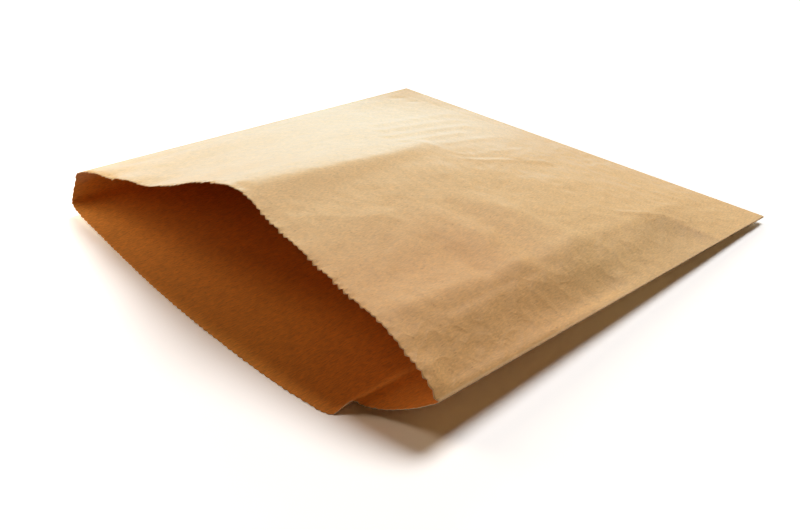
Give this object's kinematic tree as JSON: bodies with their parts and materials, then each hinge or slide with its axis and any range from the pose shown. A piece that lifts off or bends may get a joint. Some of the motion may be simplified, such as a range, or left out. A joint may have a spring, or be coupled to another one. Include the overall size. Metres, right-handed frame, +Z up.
{
  "type": "flat paper bag",
  "caption": "Flat brown paper bag lying open, with pinked mouth, side folds, glued back seam and turned end.",
  "frame": {"origin": "middle of the bag's footprint, on the surface it lies on", "axes": "+Y from the open mouth to the closed end, +X across the mouth to the right as seen from the mouth, +Z up"},
  "size_m": [0.2502, 0.2604, 0.0536],
  "materials": {
    "kraft_paper": "matte, uncoated brown kraft with a faint machine gloss"
  },
  "bodies": {
    "root": {"paper_bag": "kraft_paper"}
  },
  "joints": []
}
